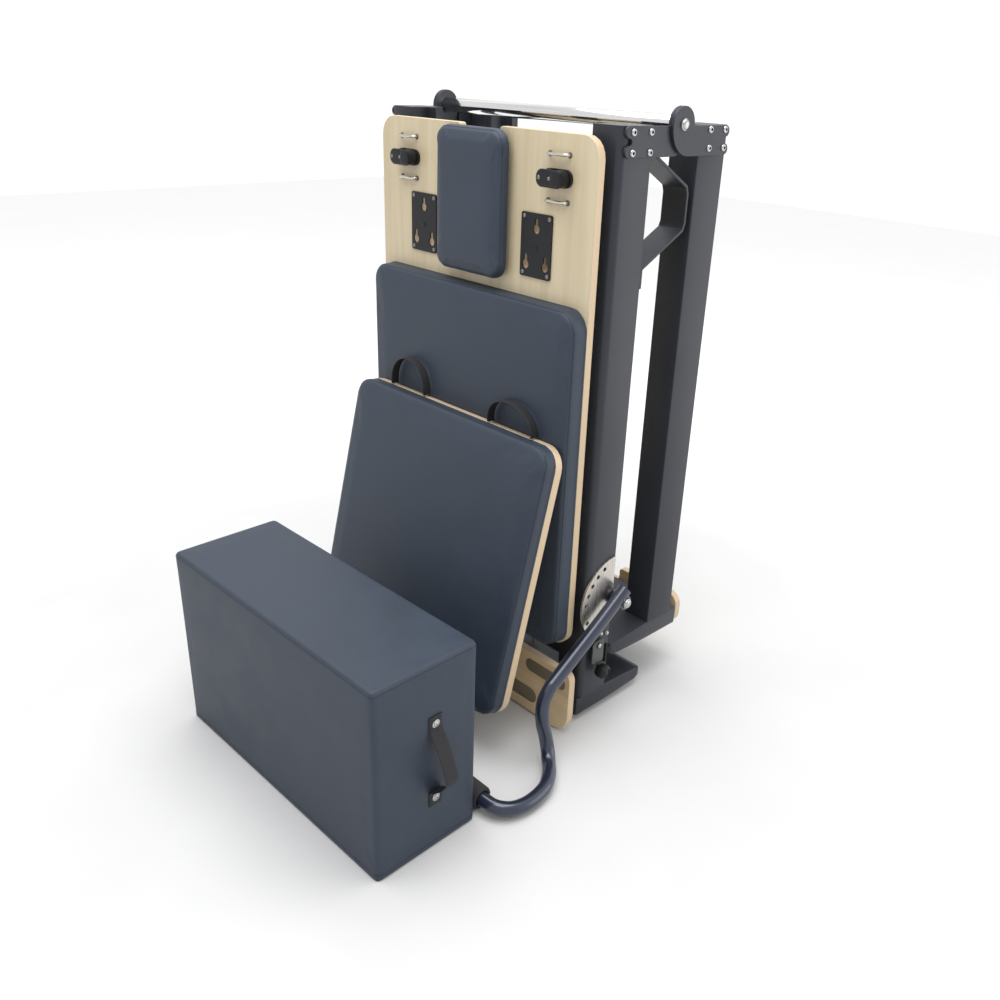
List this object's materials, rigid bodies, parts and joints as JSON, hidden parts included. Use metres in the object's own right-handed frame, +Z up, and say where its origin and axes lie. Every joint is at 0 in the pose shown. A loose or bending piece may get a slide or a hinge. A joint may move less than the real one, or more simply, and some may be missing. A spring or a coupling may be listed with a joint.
{
  "type": "folding pilates reformer",
  "caption": "Folding reformer standing folded on its foot end, with sliding padded carriage, footbar, jump board leaning on it and an upholstered sitting box in front.",
  "frame": {"origin": "on the floor under the middle of the whole footprint, bounding box bottom centre", "axes": "+Z up the standing machine, -Y towards its front where the sitting box stands, +X to the right seen from the front"},
  "size_m": [0.9304, 0.9915, 1.279],
  "materials": {
    "graphite_paint": "satin powder coat",
    "footbar_paint": "gloss powder coat",
    "chrome": "polished",
    "brushed_steel": "brushed",
    "light_plywood": "clear lacquer",
    "slate_leatherette": "fine grain",
    "black_plastic": "matt",
    "black_rubber": "matt",
    "black_foam": "matt foam",
    "black_webbing": "woven webbing"
  },
  "bodies": {
    "frame": {"foot_platform": "light_plywood", "front_hinge_plate_left": "graphite_paint", "front_hinge_plate_right": "graphite_paint", "front_leg": "graphite_paint", "front_leg_base": "black_rubber", "front_rail_left": "graphite_paint", "front_rail_right": "graphite_paint", "hinge_pin_left": "brushed_steel", "hinge_pin_right": "brushed_steel", "hinge_rod": "chrome", "index_plate_left": "brushed_steel", "index_plate_right": "brushed_steel", "latch_base": "graphite_paint", "middle_leg_left": "graphite_paint", "middle_leg_right": "graphite_paint", "platform_bracket": "graphite_paint", "spring_1": "brushed_steel", "spring_2": "brushed_steel", "spring_3": "brushed_steel", "spring_4": "brushed_steel", "spring_bar": "graphite_paint"},
    "rear_half": {"head_board": "light_plywood", "head_board_bracket": "graphite_paint", "rear_hinge_plate_left": "graphite_paint", "rear_hinge_plate_right": "graphite_paint", "rear_leg": "graphite_paint", "rear_leg_cap": "black_rubber", "rear_rail_left": "graphite_paint", "rear_rail_right": "graphite_paint"},
    "carriage": {"carriage_beam_lower": "graphite_paint", "carriage_beam_upper": "graphite_paint", "carriage_board": "light_plywood", "carriage_pad": "slate_leatherette", "cleat_base_left": "black_plastic", "cleat_base_right": "black_plastic", "rope_loop_lower_left": "brushed_steel", "rope_loop_lower_right": "brushed_steel", "rope_loop_upper_left": "brushed_steel", "rope_loop_upper_right": "brushed_steel", "socket_plate_left": "black_plastic", "socket_plate_right": "black_plastic"},
    "headrest": {"headrest": "slate_leatherette"},
    "wheel_lower_left": {"wheel_lower_left": "black_plastic"},
    "wheel_lower_right": {"wheel_lower_right": "black_plastic"},
    "wheel_upper_left": {"wheel_upper_left": "black_plastic"},
    "wheel_upper_right": {"wheel_upper_right": "black_plastic"},
    "cleat_cam_left_a": {"cleat_cam_left_a": "black_plastic"},
    "cleat_cam_left_b": {"cleat_cam_left_b": "black_plastic"},
    "cleat_cam_right_a": {"cleat_cam_right_a": "black_plastic"},
    "cleat_cam_right_b": {"cleat_cam_right_b": "black_plastic"},
    "footbar": {"footbar": "footbar_paint", "footbar_grip": "black_foam"},
    "latch_lever": {"latch_lever": "black_plastic"},
    "jump_board": {"jump_board": "light_plywood", "jump_board_loop_left": "black_webbing", "jump_board_loop_right": "black_webbing", "jump_board_pad": "slate_leatherette", "jump_board_posts": "graphite_paint"},
    "sitting_box": {"sitting_box": "slate_leatherette", "box_handle": "black_webbing"}
  },
  "joints": [
    {"name": "fold", "type": "hinge", "parent": "frame", "child": "rear_half", "pos_m": [0, 0.27999, 1.248], "axis": [1, 0, 0], "range_deg": [0, 180]},
    {"name": "carriage_slide", "type": "slide", "parent": "frame", "child": "carriage", "axis": [0, 0, 1], "range_m": [0, 0.9], "deforming": ["spring_1", "spring_2", "spring_3", "spring_4"]},
    {"name": "headrest_tilt", "type": "hinge", "parent": "carriage", "child": "headrest", "pos_m": [0, 0.08774, 0.9505], "axis": [1, 0, 0], "range_deg": [0, 30]},
    {"name": "wheel_lower_left_spin", "type": "hinge", "parent": "carriage", "child": "wheel_lower_left", "pos_m": [-0.2355, 0.14404, 0.4], "axis": [1, 0, 0], "continuous": true},
    {"name": "wheel_lower_right_spin", "type": "hinge", "parent": "carriage", "child": "wheel_lower_right", "pos_m": [0.2355, 0.14404, 0.4], "axis": [1, 0, 0], "continuous": true},
    {"name": "wheel_upper_left_spin", "type": "hinge", "parent": "carriage", "child": "wheel_upper_left", "pos_m": [-0.2355, 0.14404, 1.17], "axis": [1, 0, 0], "continuous": true},
    {"name": "wheel_upper_right_spin", "type": "hinge", "parent": "carriage", "child": "wheel_upper_right", "pos_m": [0.2355, 0.14404, 1.17], "axis": [1, 0, 0], "continuous": true},
    {"name": "cleat_cam_left_a_swing", "type": "hinge", "parent": "carriage", "child": "cleat_cam_left_a", "pos_m": [-0.233, 0.08174, 1.152], "axis": [0, -1, 0], "range_deg": [0, 35], "stiffness_Nm_per_rad": 0.05},
    {"name": "cleat_cam_left_b_swing", "type": "hinge", "parent": "carriage", "child": "cleat_cam_left_b", "pos_m": [-0.199, 0.08174, 1.152], "axis": [0, 1, 0], "range_deg": [0, 35], "stiffness_Nm_per_rad": 0.05},
    {"name": "cleat_cam_right_a_swing", "type": "hinge", "parent": "carriage", "child": "cleat_cam_right_a", "pos_m": [0.199, 0.08174, 1.152], "axis": [0, -1, 0], "range_deg": [0, 35], "stiffness_Nm_per_rad": 0.05},
    {"name": "cleat_cam_right_b_swing", "type": "hinge", "parent": "carriage", "child": "cleat_cam_right_b", "pos_m": [0.233, 0.08174, 1.152], "axis": [0, 1, 0], "range_deg": [0, 35], "stiffness_Nm_per_rad": 0.05},
    {"name": "footbar_swing", "type": "hinge", "parent": "frame", "child": "footbar", "pos_m": [0, 0.20704, 0.293], "axis": [-1, 0, 0], "range_deg": [0, 90.6]},
    {"name": "box_slide", "type": "slide", "parent": "frame", "child": "sitting_box", "axis": [0, -1, 0], "range_m": [0, 0.48]},
    {"name": "latch_swing", "type": "hinge", "parent": "frame", "child": "latch_lever", "pos_m": [0.3325, 0.16304, 0.19], "axis": [1, 0, 0], "range_deg": [0, 60]},
    {"name": "jump_board_lift", "type": "slide", "parent": "frame", "child": "jump_board", "axis": [0, -0.0995, 0.995], "range_m": [0, 0.75]}
  ],
  "couplings": [
    {"joint": "wheel_lower_left_spin", "follows": "carriage_slide", "rad_per_m": -44.444},
    {"joint": "wheel_lower_right_spin", "follows": "carriage_slide", "rad_per_m": -44.444},
    {"joint": "wheel_upper_left_spin", "follows": "carriage_slide", "rad_per_m": -44.444},
    {"joint": "wheel_upper_right_spin", "follows": "carriage_slide", "rad_per_m": -44.444},
    {"joint": "box_slide", "follows": "footbar_swing", "m_per_rad": 0.3}
  ]
}
